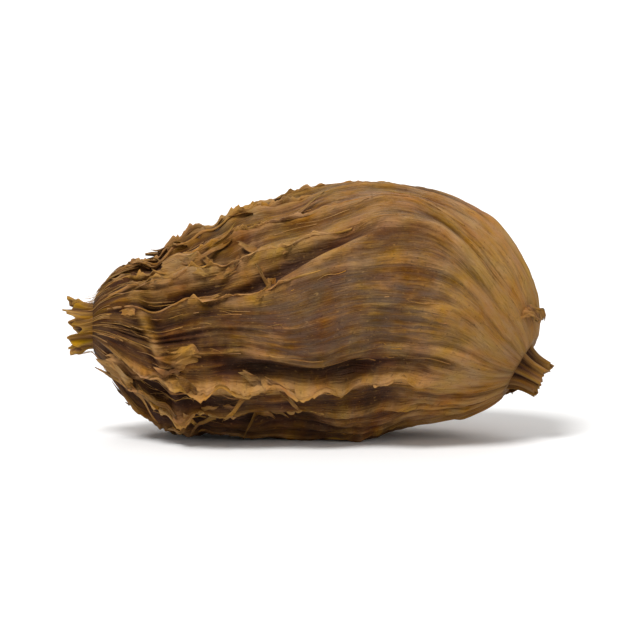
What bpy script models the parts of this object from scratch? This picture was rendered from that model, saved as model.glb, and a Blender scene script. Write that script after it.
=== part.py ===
"""A dried black cardamom pod lying on its side: one grown piece, so one solid.

The pod is a blunt egg with a ribbed husk. Its narrow end, at -X, keeps the frayed cup that the flower
left, and its round end turns down to the scar and the broken stub of the stalk. The ribs run lengthwise
and stand up into torn frills towards the narrow end, where loose strips of husk curl away.

Metres, +Z up. The origin is the middle of the pod's footprint, on the surface that it rests on, and the
pod's front, its smoothest lobe, faces -Y. Angles round the pod start at the front and go up over the top.
"""

import math

import bmesh
import bpy
import numpy as np

MM = 0.001
DEG = math.radians(1)

# Driving dimensions
LENGTH = 26.0 * MM  # husk alone, from the neck of the cup to the round end
HALF_HEIGHT = 6.95 * MM  # of the plain husk at its fullest section, without ribs
HALF_WIDTH = 7.35 * MM
FULLEST = 0.62  # share of the length, from the narrow end, where the pod is thickest
NECK_X = -13.5 * MM
BODY_Z = 7.35 * MM  # centre of the fullest section above the surface
TIP_DROP = 2.4 * MM  # how much lower the narrow end's centre lies
NIB_RISE = 1.5 * MM  # how far the very end of it bends up again
NIB_SHARE = 0.16  # share of the length that bends up

# The round end turns down and to the front, about the middle of its own curve
TURN_MIDDLE = (5.6 * MM, 0.0, 7.35 * MM)
TURN_ANGLE = 31 * DEG
TURN_AXIS = (0.0, 0.93, -0.36)

# Lobes, and the furrows beside the smooth front lobe and on the back
LOBE_MIDDLE = 5 * DEG
LOBE_SWELL = 0.030  # of the radius
FRONT_SWELL = 0.45 * MM
# Powers of the plain outline, before and after the fullest section: the larger the first, the flatter the
# middle, and the smaller the second, the blunter the end
TIP_POWERS = (1.9, 0.45)
BASE_POWERS = (2.1, 0.5)
# Furrows and folds of the husk, each along a slanting line: share of the length and angle in degrees where
# it starts, the same where it ends, height in millimetres (a furrow's is negative) and half-width in degrees
CREASES = (
    (0.30, 25, 0.58, 42, -0.75, 4.0),
    (0.30, 17, 0.58, 34, 0.22, 5.0),
    (0.27, -25, 0.64, -27, -0.85, 5.0),
    (0.16, 155, 0.84, 155, -0.85, 5.5),
    (0.16, -145, 0.84, -145, -0.85, 5.5),
    (0.08, 24, 0.28, 32, -0.60, 4.5),
    (0.07, 38, 0.30, 46, 0.45, 7.0),
    (0.115, 18, 0.20, -58, 0.85, 16.0),
)
CREASE_FADE = 0.06  # share of the length over which a crease fades at either end
# Hollows where the husk sank in, and the swollen belly: share of the length and angle in degrees at the
# middle, half-length as a share, half-width in degrees and height in millimetres
DENTS = (
    (0.40, -58, 0.10, 10, -0.9),
    (0.17, 6, 0.07, 17, -0.6),
    (0.62, 150, 0.12, 17, -0.6),
    (0.66, -84, 0.17, 34, 1.3),
)
# Waves of the uneven husk, in millimetres, and of its ribs' sideways wander, in degrees: size, number round
# the pod, turn along its whole length in radians, and phase
UNEVEN_WAVES = ((0.16, 2, 9.0, 0.7), (0.12, 3, -14.0, 2.1), (0.07, 5, 23.0, 0.0), (0.05, 7, -31.0, 1.3))
SWAY_WAVES = ((2.2, 3, 7.5, 0.4), (1.2, 5, 21.0, 1.9))

# Ribs
RIBS = 18
RIB_STEP = math.tau / RIBS
FIRST_RIB = 5 * DEG
# Height of each rib in millimetres, from the middle of the front lobe up over the top and round the back
RIB_HEIGHTS = (
    0.10, 0.16, 0.24, 0.18, 0.22, 0.30, 0.46, 0.60, 0.48,
    0.58, 0.50, 0.62, 0.50, 0.42, 0.40, 0.50, 0.80, 0.20,
)
# How fully each rib stands up into a frill towards the narrow end
RIB_FRILLS = (
    0.12, 0.40, 0.80, 0.60, 0.75, 0.75, 1.00, 1.00, 1.00,
    1.00, 1.00, 1.00, 1.00, 0.75, 0.70, 0.90, 1.00, 0.15,
)
LEAN = 14.5 * DEG  # how far the ribs below the front lobe slant
LEAN_MIDDLE = -42 * DEG
LEAN_SPREAD = 45 * DEG
FRILL_HEIGHT = 0.85 * MM
FRILL_MIDDLE = 0.20  # share of the length where the frills stand highest
FRILL_SPREAD = 0.16
FRILL_SWING = 0.30 * MM  # how far a frill waves from side to side
CREST_HALF_WIDTH = 0.27 * MM
FOOT_HALF_WIDTH = 0.75 * MM
FOOT_SHARE = 0.16  # share of the rib's height at its foot

# Cup that the flower left, and the stub of the stalk
CUP_RADIUS = 1.45 * MM
CUP_WALL = 0.40 * MM
CUP_LENGTH = 1.1 * MM
CUP_DEPTH = 1.0 * MM
CUP_TEETH = 5
SCAR_RADIUS = 2.0 * MM
SCAR_DEPTH = 0.35 * MM
STUB_RADIUS = 1.1 * MM
STUB_LENGTH = 1.5 * MM

HUSK_ROWS = 49

PRESSED = 0.05 * MM  # what hangs to within this of the surface lies flat on it

# Strips of husk torn loose: angle round the pod in degrees, share of the length at the root, length and
# width in millimetres, and how far the tip turns sideways in degrees
TIP_STRIPS = (
    (53, 0.33, 5.4, 2.2, 10),
    (-28, 0.30, 4.2, 3.0, 10),
    (-50, 0.18, 4.7, 3.0, -8),
    (-108, 0.25, 5.0, 2.6, -14),
    (-153, 0.195, 4.2, 2.2, 12),
    (164, 0.27, 5.2, 2.8, -12),
    (110, 0.25, 3.8, 2.4, 12),
)
BASE_STRIPS = (
    (60, 0.92, 1.9, 1.5, 14),
    (-144, 0.94, 1.7, 1.4, -10),
)
STRIP_THICKNESS = 0.62 * MM
STRIP_ROOT_DEPTH = 0.9 * MM
STRIP_LIFT = 1.0 * MM
STRIP_STATIONS = 6

HUSK_COLOUR = (0.235, 0.122, 0.048, 1.0)
HUSK_ROUGHNESS = 0.82


def clear_scene():
    for obj in list(bpy.data.objects):
        bpy.data.objects.remove(obj, do_unlink=True)


def husk_material():
    """Dry, dull brown husk."""
    material = bpy.data.materials.new("dry_husk")
    material.use_nodes = True
    shader = material.node_tree.nodes["Principled BSDF"]
    shader.inputs["Base Color"].default_value = HUSK_COLOUR
    shader.inputs["Roughness"].default_value = HUSK_ROUGHNESS
    shader.inputs["Metallic"].default_value = 0.0
    return material


def spread(index, salt):
    """A value from 0 to 1 for each rib or strip, scattered evenly by the golden ratio."""
    return (index * 0.618034 + salt * 0.414214) % 1.0


def ease(low, high, value):
    """0 below low, 1 above high, and a smooth S between them."""
    share = np.clip((value - low) / (high - low), 0.0, 1.0)
    return share * share * (3 - 2 * share)


def bell(value, half_width):
    """A smooth hump of height 1 at value 0."""
    return np.exp(-((value / half_width) ** 2))


def turn_between(angle, other):
    """Signed angle from other to angle, from -pi to pi."""
    return (angle - other + math.pi) % math.tau - math.pi


def fullness(u):
    """The plain outline: share of the full radius at share u of the length, blunt at both ends."""
    before = np.clip((FULLEST - u) / FULLEST, 0.0, 1.0)
    after = np.clip((u - FULLEST) / (1 - FULLEST), 0.0, 1.0)
    tip = (1 - before ** TIP_POWERS[0]) ** TIP_POWERS[1]
    return tip * (1 - after ** BASE_POWERS[0]) ** BASE_POWERS[1]


def creases(u, angle):
    """Height of the furrows and folds, each a long bump or groove about its line."""
    height = 0.0
    for start, first, end, last, rise, half_width in CREASES:
        line = (first + (last - first) * (u - start) / (end - start)) * DEG
        along = ease(start - CREASE_FADE, start + CREASE_FADE, u)
        along = along * (1 - ease(end - CREASE_FADE, end + CREASE_FADE, u))
        height = height + rise * along * bell(turn_between(angle, line), half_width * DEG)
    return height * MM


def waves(listed, u, angle):
    """The sum of the listed waves, which run slantwise round the pod."""
    return sum(size * np.sin(around * angle + along * u + phase) for size, around, along, phase in listed)


def shrivel(u, angle):
    """Hollows and swellings where the husk dried unevenly."""
    height = waves(UNEVEN_WAVES, u, angle)
    for share, middle, half_length, half_width, rise in DENTS:
        away = turn_between(angle, middle * DEG)
        height = height + rise * bell(u - share, half_length) * bell(away, half_width * DEG)
    return ease(0.0, 0.15, u) * (1 - ease(0.88, 1.0, u)) * height * MM


def rib_height(rib, u):
    """Height of the ribs' crests above the husk: low and even on the front lobe, and torn into frills
    towards the narrow end elsewhere."""
    height = np.array(RIB_HEIGHTS)[rib]
    angle = FIRST_RIB + rib * RIB_STEP
    wavy = 1 + 0.25 * np.sin(math.tau * (3.7 * u + spread(rib, 1)))
    middle = FRILL_MIDDLE + 0.10 * (spread(rib, 2) - 0.5)
    quick = np.sin(math.tau * (11 * u + spread(rib, 3)))
    slow = np.sin(math.tau * (4 * u + spread(rib, 4)))
    torn = 0.55 + 0.45 * quick * slow
    frill = FRILL_HEIGHT * np.array(RIB_FRILLS)[rib] * bell(u - middle, FRILL_SPREAD) * torn
    underside = 1 - 0.85 * bell(turn_between(angle, -90 * DEG), 0.55) * ease(0.05, 0.3, u)
    along = ease(0.0, 0.10, u) * (1 - 0.75 * ease(0.70, 1.0, u))
    return along * underside * (height * MM * wavy + frill)


def lean(u, angle):
    """Slant of the husk's fibres below the front lobe."""
    along = (0.52 - np.clip(u, 0.12, 0.52)) / 0.32 + 0.8 * ease(0.56, 0.86, u)
    return LEAN * bell(turn_between(angle, LEAN_MIDDLE), LEAN_SPREAD) * along


def sway(u, angle):
    """How far the ribs wander sideways."""
    return ease(0.0, 0.12, u) * (1 - ease(0.85, 1.0, u)) * waves(SWAY_WAVES, u, angle) * DEG


def plain_radius(u, angle):
    """Radius of the husk between its ribs."""
    lobes = 1 + LOBE_SWELL * np.cos(3 * (angle - LOBE_MIDDLE))
    along = ease(0.25, 0.5, u) * (1 - ease(0.75, 1.0, u))
    front = FRONT_SWELL * along * bell(turn_between(angle, LOBE_MIDDLE), 28 * DEG)
    plain = lobes * fullness(u) * HALF_HEIGHT + front + shrivel(u, angle) + creases(u, angle)
    neck = CUP_RADIUS * np.clip(1 - u, 0.0, 1.0) ** 9
    return np.maximum(np.hypot(np.maximum(plain, 0.0), neck), STUB_RADIUS)


def turned(x, y, z):
    """The points with the round end turned down to its scar."""
    share = ease(NECK_X + 0.42 * LENGTH, NECK_X + 0.96 * LENGTH, x)
    axis = np.array(TURN_AXIS) / np.linalg.norm(TURN_AXIS)
    arm = np.stack(np.broadcast_arrays(x, y, z), axis=-1) - np.array(TURN_MIDDLE)
    angle = TURN_ANGLE * np.broadcast_to(share, arm.shape[:-1])[..., None]
    along = (arm @ axis)[..., None] * axis
    across = arm - along
    return np.array(TURN_MIDDLE) + along + np.cos(angle) * across + np.sin(angle) * np.cross(axis, arm)


def droop(u):
    """How much lower the husk's middle line lies towards the narrow end, whose nib bends up again."""
    return TIP_DROP * np.clip(1 - u / FULLEST, 0.0, 2.0) ** 1.3 - NIB_RISE * (1 - ease(0.0, NIB_SHARE, u))


def husk_points(u, angle, raised=0.0, sideways=0.0):
    """Points of the husk, raised above it and moved sideways by a rib or a frill."""
    radius = plain_radius(u, angle)
    heading = angle + lean(u, angle) + sway(u, angle) + sideways / radius
    radius = radius + raised
    x = NECK_X + u * LENGTH
    y = -radius * HALF_WIDTH / HALF_HEIGHT * np.cos(heading)
    z = BODY_Z - droop(u) + radius * np.sin(heading)
    return turned(x, y, z)


def husk_stations():
    """Shares of the length, closer together at both ends, up to the rim of the scar."""
    flat, blunt = BASE_POWERS
    last = FULLEST + (1 - FULLEST) * (1 - (SCAR_RADIUS / HALF_HEIGHT) ** (1 / blunt)) ** (1 / flat)
    turns = np.linspace(0.06, 0.94, HUSK_ROWS) * math.pi
    shares = (1 - np.cos(turns)) / 2
    return (shares - shares[0]) / (shares[-1] - shares[0]) * last


def husk_rings():
    """Rings of points round the husk: five to each rib, at its valley, its feet and its crest's edges."""
    u = husk_stations()[:, None]
    rib = np.repeat(np.arange(RIBS), 5)[None, :]
    place = np.tile([-2, -1, -0.5, 0.5, 1], RIBS)[None, :]
    middle = FIRST_RIB + rib * RIB_STEP
    radius = plain_radius(u, middle)
    foot = np.minimum(FOOT_HALF_WIDTH / radius, 0.30 * RIB_STEP)
    crest = np.minimum(CREST_HALF_WIDTH / radius, 0.11 * RIB_STEP)
    on_foot = abs(place) == 1
    offsets = [-RIB_STEP / 2 + 0 * u, place * foot]
    offset = np.select([place == -2, on_foot], offsets, np.sign(place) * crest)
    share = np.select([place == -2, on_foot], [0.0, FOOT_SHARE], 1.0)
    height = rib_height(rib, u)
    wave = np.sin(math.tau * (8.5 * u + spread(rib, 7))) * (share == 1.0)
    swing = np.minimum(FRILL_SWING * height / FRILL_HEIGHT, 0.13 * RIB_STEP * radius)
    return husk_points(u, middle + offset, share * height, swing * wave)


def end_rings(u, steps, ragged, teeth):
    """Round rings beyond the husk's ends: for each step a distance along the pod from share u, a radius,
    and whether the ring is torn into teeth."""
    angle = FIRST_RIB + (np.arange(RIBS * 5) / 5 - 0.5) * RIB_STEP
    tooth = ragged * (0.6 * np.sin(teeth * angle + 0.9) + 0.4 * np.sin((2 * teeth + 1) * angle + 2.2))
    rings = []
    for along, radius, torn in steps:
        x = NECK_X + u * LENGTH + along + torn * tooth
        rings.append(turned(x, -radius * np.cos(angle), BODY_Z - droop(u) + radius * np.sin(angle)))
    return rings


def cup_rings():
    """Rings of the flower's cup, from the bottom of its hollow over the torn rim to the neck."""
    inner = CUP_RADIUS - CUP_WALL
    bottom = CUP_DEPTH - CUP_LENGTH
    steps = (
        (bottom + 0.1 * MM, 0.0, 0),
        (bottom, 0.45 * inner, 0),
        (bottom - 0.15 * MM, 0.85 * inner, 0),
        (-CUP_LENGTH, inner, 1),
        (-CUP_LENGTH, CUP_RADIUS, 1),
        (-0.45 * CUP_LENGTH, 0.90 * CUP_RADIUS, 0),
    )
    return end_rings(0, steps, 0.34 * MM, CUP_TEETH)


def stub_rings():
    """Rings of the sunken scar and of the broken stub of the stalk in its middle."""
    steps = (
        (-SCAR_DEPTH, 0.72 * SCAR_RADIUS, 0),
        (-SCAR_DEPTH, 1.05 * STUB_RADIUS, 0),
        (STUB_LENGTH - SCAR_DEPTH, 0.85 * STUB_RADIUS, 1),
        (STUB_LENGTH - 1.3 * SCAR_DEPTH, 0.0, 0),
    )
    return end_rings(1, steps, 0.16 * MM, 3)


def add_skin(bm, rings):
    """Faces between the rings. The first and the last stand for the single points that close the skin."""
    loops = [[bm.verts.new(point) for point in ring] for ring in rings[1:-1]]
    start = bm.verts.new(np.mean(rings[0], axis=0))
    end = bm.verts.new(np.mean(rings[-1], axis=0))
    count = len(loops[0])
    for i in range(count):
        j = (i + 1) % count
        for near, far in zip(loops, loops[1:]):
            bm.faces.new((near[i], near[j], far[j], far[i]))
        bm.faces.new((start, loops[0][j], loops[0][i]))
        bm.faces.new((end, loops[-1][i], loops[-1][j]))


def mesh_object(name, rings, material):
    """A named object with a closed skin through the rings, its faces turned outwards."""
    bm = bmesh.new()
    add_skin(bm, rings)
    bmesh.ops.recalc_face_normals(bm, faces=bm.faces)
    mesh = bpy.data.meshes.new(name)
    bm.to_mesh(mesh)
    bm.free()
    mesh.materials.append(material)
    obj = bpy.data.objects.new(name, mesh)
    bpy.context.scene.collection.objects.link(obj)
    return obj


def make_husk(material):
    """The pod's body: cup, ribbed husk and stub in one closed skin."""
    return mesh_object("pod", cup_rings() + list(husk_rings()) + stub_rings(), material)


def strip_rings(index, strip, towards):
    """Rings of a loose strip: it leaves the husk flat, then lifts, curls sideways and narrows. It points
    to the narrow end where towards is -1, and to the stalk where it is 1."""
    angle_deg, root, length_mm, width_mm, turn_deg = strip
    rings = []
    for station in range(STRIP_STATIONS):
        share = station / (STRIP_STATIONS - 1)
        u = root + towards * share * length_mm * MM / LENGTH
        angle = (angle_deg + turn_deg * share**2) * DEG
        lift = STRIP_LIFT * share**1.4 - STRIP_ROOT_DEPTH * (1 - share) ** 2
        ragged = 1 + 0.22 * math.sin(math.tau * (2.6 * share + spread(index, 8)))
        half = width_mm * MM * (1 - 0.75 * share**1.5) * ragged / 2
        side = half * np.array((-1, 1, 1, -1))
        level = lift + STRIP_THICKNESS * np.array((-0.5, -0.5, 0.5, 0.5))
        rings.append(husk_points(np.full(4, u), np.full(4, angle), level, side))
    return rings


def make_strip(index, strip, towards, material):
    """One torn strip as a closed, bent blade."""
    rings = strip_rings(index, strip, towards)
    return mesh_object(f"strip_{index}", [rings[0]] + rings + [rings[-1]], material)


def make_strips(material):
    """Every torn strip, at the narrow end and round the stalk's scar."""
    at_tip = [make_strip(index, strip, -1, material) for index, strip in enumerate(TIP_STRIPS)]
    first = len(TIP_STRIPS)
    at_base = [make_strip(first + index, strip, 1, material) for index, strip in enumerate(BASE_STRIPS)]
    return at_tip + at_base


def join_all(body, pieces):
    """One solid from the body and everything that grows from it."""
    group = bpy.data.collections.new("grown_on")
    bpy.context.scene.collection.children.link(group)
    for piece in pieces:
        bpy.context.scene.collection.objects.unlink(piece)
        group.objects.link(piece)
    union = body.modifiers.new("grown_together", "BOOLEAN")
    union.operation = "UNION"
    union.operand_type = "COLLECTION"
    union.collection = group
    union.solver = "EXACT"
    bpy.context.view_layer.objects.active = body
    bpy.ops.object.modifier_apply(modifier=union.name)
    for piece in pieces:
        bpy.data.objects.remove(piece, do_unlink=True)
    bpy.data.collections.remove(group)


def press_flat(body):
    """The small flat spot under the pod: what would reach the surface, or nearly, lies on it."""
    for vertex in body.data.vertices:
        if vertex.co.z < PRESSED:
            vertex.co.z = 0.0


def main():
    clear_scene()
    material = husk_material()
    pod = make_husk(material)
    join_all(pod, make_strips(material))
    press_flat(pod)
    pod.data.shade_smooth()
    pod.data.set_sharp_from_angle(angle=math.radians(50))


main()
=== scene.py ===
"""Dresses the dried black cardamom pod: a fine ribbed husk in place of the plain solid, torn frills along
its ribs, loose strips, the flower's frayed cup, the broken stalk, fibres, and a pale studio round it.

Every shape is a function of two parameters: u, the share of the pod's length from its narrow end, and the
angle round it, from the front up over the top. Lengths are metres unless a name says millimetres.
"""

import math

import bpy
import numpy as np
from bpy.props import FloatProperty, FloatVectorProperty, IntProperty, PointerProperty
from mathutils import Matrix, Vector


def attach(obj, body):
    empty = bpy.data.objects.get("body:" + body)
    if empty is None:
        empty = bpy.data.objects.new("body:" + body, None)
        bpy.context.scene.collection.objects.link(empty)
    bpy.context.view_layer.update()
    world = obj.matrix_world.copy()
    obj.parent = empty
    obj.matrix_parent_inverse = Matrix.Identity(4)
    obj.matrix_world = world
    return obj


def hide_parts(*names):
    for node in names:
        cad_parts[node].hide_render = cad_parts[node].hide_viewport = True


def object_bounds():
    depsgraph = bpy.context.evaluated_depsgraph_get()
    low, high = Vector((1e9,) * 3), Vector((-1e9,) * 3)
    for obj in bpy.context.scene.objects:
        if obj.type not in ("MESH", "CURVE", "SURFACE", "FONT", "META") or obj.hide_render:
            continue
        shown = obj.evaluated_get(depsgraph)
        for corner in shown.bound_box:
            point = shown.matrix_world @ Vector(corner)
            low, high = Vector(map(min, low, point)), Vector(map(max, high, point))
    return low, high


bl_info = {
    "name": "Dried Pod Dresser",
    "version": (1, 0, 0),
    "blender": (4, 5, 0),
    "location": "3D View > Sidebar > Pod",
    "description": "Builds the husk, frills, strips, cup, stalk and fibres of a dried black cardamom pod",
    "category": "Add Mesh",
}

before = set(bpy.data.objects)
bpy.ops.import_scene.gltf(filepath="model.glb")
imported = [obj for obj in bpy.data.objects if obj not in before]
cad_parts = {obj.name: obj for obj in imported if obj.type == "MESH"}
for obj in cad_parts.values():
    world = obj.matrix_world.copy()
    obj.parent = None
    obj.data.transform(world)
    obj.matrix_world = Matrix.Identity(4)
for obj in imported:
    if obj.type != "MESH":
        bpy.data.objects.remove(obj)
CAD_LOW, CAD_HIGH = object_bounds()

MM = 0.001
DEG = math.radians(1)
BODY = "root"
NODE = "pod"

# Driving dimensions of the solid, which the fine husk keeps
LENGTH = 26.0 * MM
HALF_HEIGHT = 6.95 * MM
HALF_WIDTH = 7.35 * MM
FULLEST = 0.62
NECK_X = -13.5 * MM
BODY_Z = 7.35 * MM
TIP_DROP = 2.4 * MM
NIB_RISE = 1.5 * MM
NIB_SHARE = 0.16
TURN_MIDDLE = (5.6 * MM, 0.0, 7.35 * MM)
TURN_ANGLE = 31 * DEG
TURN_AXIS = (0.0, 0.93, -0.36)

# Lobes and furrows
LOBE_MIDDLE = 5 * DEG
LOBE_SWELL = 0.030
FRONT_SWELL = 0.45 * MM
# Powers of the plain outline, before and after the fullest section: the larger the first, the flatter the
# middle, and the smaller the second, the blunter the end
TIP_POWERS = (1.9, 0.45)
BASE_POWERS = (2.1, 0.5)
# Furrows and folds of the husk, each along a slanting line: share of the length and angle in degrees where
# it starts, the same where it ends, height in millimetres (a furrow's is negative) and half-width in degrees
CREASES = (
    (0.30, 25, 0.58, 42, -0.75, 4.0),
    (0.30, 17, 0.58, 34, 0.22, 5.0),
    (0.27, -25, 0.64, -27, -0.85, 5.0),
    (0.16, 155, 0.84, 155, -0.85, 5.5),
    (0.16, -145, 0.84, -145, -0.85, 5.5),
    (0.08, 24, 0.28, 32, -0.60, 4.5),
    (0.07, 38, 0.30, 46, 0.45, 7.0),
    (0.115, 18, 0.20, -58, 0.85, 16.0),
)
CREASE_FADE = 0.06  # share of the length over which a crease fades at either end
# Hollows where the husk sank in, and the swollen belly: share of the length and angle in degrees at the
# middle, half-length as a share, half-width in degrees and height in millimetres
DENTS = (
    (0.40, -58, 0.10, 10, -0.9),
    (0.17, 6, 0.07, 17, -0.6),
    (0.62, 150, 0.12, 17, -0.6),
    (0.66, -84, 0.17, 34, 1.3),
)
# Waves of the uneven husk, in millimetres, and of its ribs' sideways wander, in degrees: size, number round
# the pod, turn along its whole length in radians, and phase
UNEVEN_WAVES = ((0.16, 2, 9.0, 0.7), (0.12, 3, -14.0, 2.1), (0.07, 5, 23.0, 0.0), (0.05, 7, -31.0, 1.3))
SWAY_WAVES = ((2.2, 3, 7.5, 0.4), (1.2, 5, 21.0, 1.9))
# Creases too fine for the solid, listed in the same way
FINE_CREASES = (
    (0.20, -25, 0.34, -25, 0.38, 4.5),
    (0.31, 21.5, 0.60, 38.5, 0.10, 1.6),
    (0.29, 27, 0.56, 45, -0.14, 1.4),
    (0.58, -27, 0.84, -22, -0.20, 1.8),
    (0.50, -14, 0.90, -10, -0.12, 1.4),
    (0.44, 6, 0.80, 3, -0.09, 1.2),
    (0.36, -8, 0.66, -12, 0.10, 1.6),
    (0.10, 62, 0.32, 52, -0.25, 3.0),
    (0.12, 4, 0.26, 12, -0.24, 3.0),
    (0.11, -8, 0.24, -16, 0.22, 4.0),
    (0.10, 14, 0.185, -62, -0.30, 8.0),
    (0.14, 18, 0.225, -58, -0.20, 8.0),
)

# Ribs
RIBS = 18
RIB_STEP = math.tau / RIBS
FIRST_RIB = 5 * DEG
RIB_HEIGHTS = (
    0.10, 0.16, 0.24, 0.18, 0.22, 0.30, 0.46, 0.60, 0.48,
    0.58, 0.50, 0.62, 0.50, 0.42, 0.40, 0.50, 0.80, 0.20,
)
# How fully each rib stands up into a frill towards the narrow end
RIB_FRILLS = (
    0.12, 0.40, 0.80, 0.60, 0.75, 0.75, 1.00, 1.00, 1.00,
    1.00, 1.00, 1.00, 1.00, 0.75, 0.70, 0.90, 1.00, 0.15,
)
LEAN = 14.5 * DEG
LEAN_MIDDLE = -42 * DEG
LEAN_SPREAD = 45 * DEG
FRILL_HEIGHT = 0.85 * MM
FRILL_MIDDLE = 0.20
FRILL_SPREAD = 0.16
FRILL_SWING = 0.30 * MM
FRILL_WAVES = 8.5  # bends of a frill from one end of the pod to the other
SWING_LIMIT = 0.13  # most that a frill bends aside, as a share of the step between ribs
RIDGE_RIB = 16  # the frilly ridge under the front lobe
RIDGE_REACH = 0.86  # share of the length that its frill reaches
BARE_RIBS = (13, 14)  # under the pod, where no flake fits above the floor
UNDERSIDE = -90 * DEG
CREST_HALF_WIDTH = 0.27 * MM
FOOT_HALF_WIDTH = 0.75 * MM
FOOT_SHARE = 0.16

# Cup, scar and stub
CUP_RADIUS = 1.45 * MM
CUP_LENGTH = 1.1 * MM
CUP_DEPTH = 1.0 * MM
CUP_TEETH = 5
SCAR_RADIUS = 2.0 * MM
SCAR_DEPTH = 0.35 * MM
STUB_RADIUS = 1.1 * MM
STUB_LENGTH = 1.5 * MM

# Torn strips: angle in degrees, share of the length at the root, length and width in millimetres, and how
# far the tip turns sideways in degrees
TIP_STRIPS = (
    (53, 0.33, 5.4, 2.2, 10),
    (-28, 0.30, 4.2, 3.0, 10),
    (-50, 0.18, 4.7, 3.0, -8),
    (-108, 0.25, 5.0, 2.6, -14),
    (-153, 0.195, 4.2, 2.2, 12),
    (164, 0.27, 5.2, 2.8, -12),
    (110, 0.25, 3.8, 2.4, 12),
)
BASE_STRIPS = (
    (60, 0.92, 1.9, 1.5, 14),
    (-144, 0.94, 1.7, 1.4, -10),
)
STRIP_ROOT_DEPTH = 0.9 * MM
STRIP_LIFT = 1.0 * MM

GRAIN_RADIUS = 7.0  # millimetres: the even cylinder that the grain is wrapped on

# Studio: each sun's name, the way towards it, its strength and its width in degrees
SUNS = (
    ("key", (-0.38, -0.55, 1.0), 3.0, 24),
    ("fill", (0.75, -0.80, 0.55), 0.50, 40),
    ("back", (0.15, 0.90, 0.85), 1.0, 40),
)
SKY_COLOUR = (1.0, 0.99, 0.97, 1.0)
SKY_STRENGTH = 0.45
FLOOR_REACH = 2.5  # metres from the middle to each edge


class HuskSettings(bpy.types.PropertyGroup):
    """Fineness, wrinkles and colours of the husk"""

    rows: IntProperty(name="Rows", description="Rings of points along the husk", default=290, min=60)
    across_rib: IntProperty(name="Across a rib", description="Points across each rib", default=18, min=6)
    wrinkle: FloatProperty(
        name="Wrinkles",
        description="Depth of the lengthwise wrinkles",
        default=0.11 * MM,
        subtype="DISTANCE",
    )
    # The tone picks between these colours, so the furrow colour also stands for painted shade and the crest
    # colour for painted light
    dark: FloatVectorProperty(
        name="Furrow colour",
        description="Husk deep in its furrows",
        subtype="COLOR",
        default=(0.058, 0.0208, 0.0078),
    )
    middle: FloatVectorProperty(
        name="Husk colour",
        description="Husk between its ribs",
        subtype="COLOR",
        default=(0.142, 0.062, 0.0140),
    )
    light: FloatVectorProperty(
        name="Crest colour",
        description="Worn husk on the crests",
        subtype="COLOR",
        default=(0.40, 0.205, 0.062),
    )
    bloom: FloatVectorProperty(
        name="Bloom colour",
        description="Grey streaks on the front lobe",
        subtype="COLOR",
        default=(0.110, 0.062, 0.036),
    )


class TornSettings(bpy.types.PropertyGroup):
    """Sizes and numbers of the torn pieces"""

    frill_rise: FloatProperty(
        name="Frill rise",
        description="Height of a torn frill above its rib",
        default=0.42 * MM,
        subtype="DISTANCE",
    )
    frill_thickness: FloatProperty(
        name="Frill thickness",
        description="Thickness of a frill at its foot",
        default=0.24 * MM,
        subtype="DISTANCE",
    )
    strip_thickness: FloatProperty(
        name="Strip thickness",
        description="Thickness of the loose strips",
        default=0.20 * MM,
        subtype="DISTANCE",
    )
    flakes: IntProperty(name="Flakes", description="Small torn flakes along the ribs", default=90, min=0)
    fibres: IntProperty(name="Fibres", description="Loose fibres on the husk", default=320, min=0)
    fibre_radius: FloatProperty(
        name="Fibre radius",
        description="Radius of a loose fibre",
        default=0.030 * MM,
        subtype="DISTANCE",
    )


class EndSettings(bpy.types.PropertyGroup):
    """Colours of the cup and the stalk"""

    cup: FloatVectorProperty(
        name="Cup colour",
        description="The flower's dried cup",
        subtype="COLOR",
        default=(0.59, 0.315, 0.058),
    )
    stalk: FloatVectorProperty(
        name="Stalk colour",
        description="The broken stalk",
        subtype="COLOR",
        default=(0.25, 0.120, 0.034),
    )


class StudioSettings(bpy.types.PropertyGroup):
    """The camera's place and the floor's colour"""

    elevation: FloatProperty(
        name="Camera height",
        description="Angle of the camera above the floor",
        default=6 * DEG,
        subtype="ANGLE",
    )
    view_width: FloatProperty(
        name="View width",
        description="Width of the view at the pod",
        default=36 * MM,
        subtype="DISTANCE",
    )
    lens: FloatProperty(name="Lens", description="Focal length", default=220, unit="CAMERA")
    floor: FloatVectorProperty(
        name="Floor colour", description="The pale floor", subtype="COLOR", default=(0.86, 0.86, 0.86)
    )


def spread(index, salt):
    """A value from 0 to 1 for each rib or strip, scattered evenly by the golden ratio."""
    return (index * 0.618034 + salt * 0.414214) % 1.0


def ease(low, high, value):
    """0 below low, 1 above high, and a smooth S between them."""
    share = np.clip((value - low) / (high - low), 0.0, 1.0)
    return share * share * (3 - 2 * share)


def bell(value, half_width):
    """A smooth hump of height 1 at value 0."""
    return np.exp(-((value / half_width) ** 2))


def turn_between(angle, other):
    """Signed angle from other to angle, from -pi to pi."""
    return (angle - other + math.pi) % math.tau - math.pi


def scattered(count, columns, seed):
    """Independent values from 0 to 1, a tuple of columns for a number of small pieces."""
    return tuple(np.random.default_rng(seed).uniform(0, 1, (columns, count)))


def section(around):
    """The parameter round a blade's section, evenly from 0 to a full turn."""
    return (math.tau * (np.arange(around) + 0.5) / around)[None, None, :]


def lattice(u, angle, along, around, seed):
    """Smooth random relief from -1 to 1: random numbers on a lattice of along by around cells, closed round
    the pod, blended between the corners of each cell with an S curve."""
    values = np.random.default_rng(seed).uniform(-1, 1, (along + 2, around))
    row, column = np.broadcast_arrays(np.clip(u, 0, 1) * along, angle / math.tau % 1.0 * around)
    low_row, low_column = np.floor(row).astype(int), np.floor(column).astype(int)
    across_row, across_column = ease(0, 1, row - low_row), ease(0, 1, column - low_column)
    left, right = low_column % around, (low_column + 1) % around
    near = values[low_row, left] * (1 - across_column) + values[low_row, right] * across_column
    far = values[low_row + 1, left] * (1 - across_column) + values[low_row + 1, right] * across_column
    return near * (1 - across_row) + far * across_row


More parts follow.
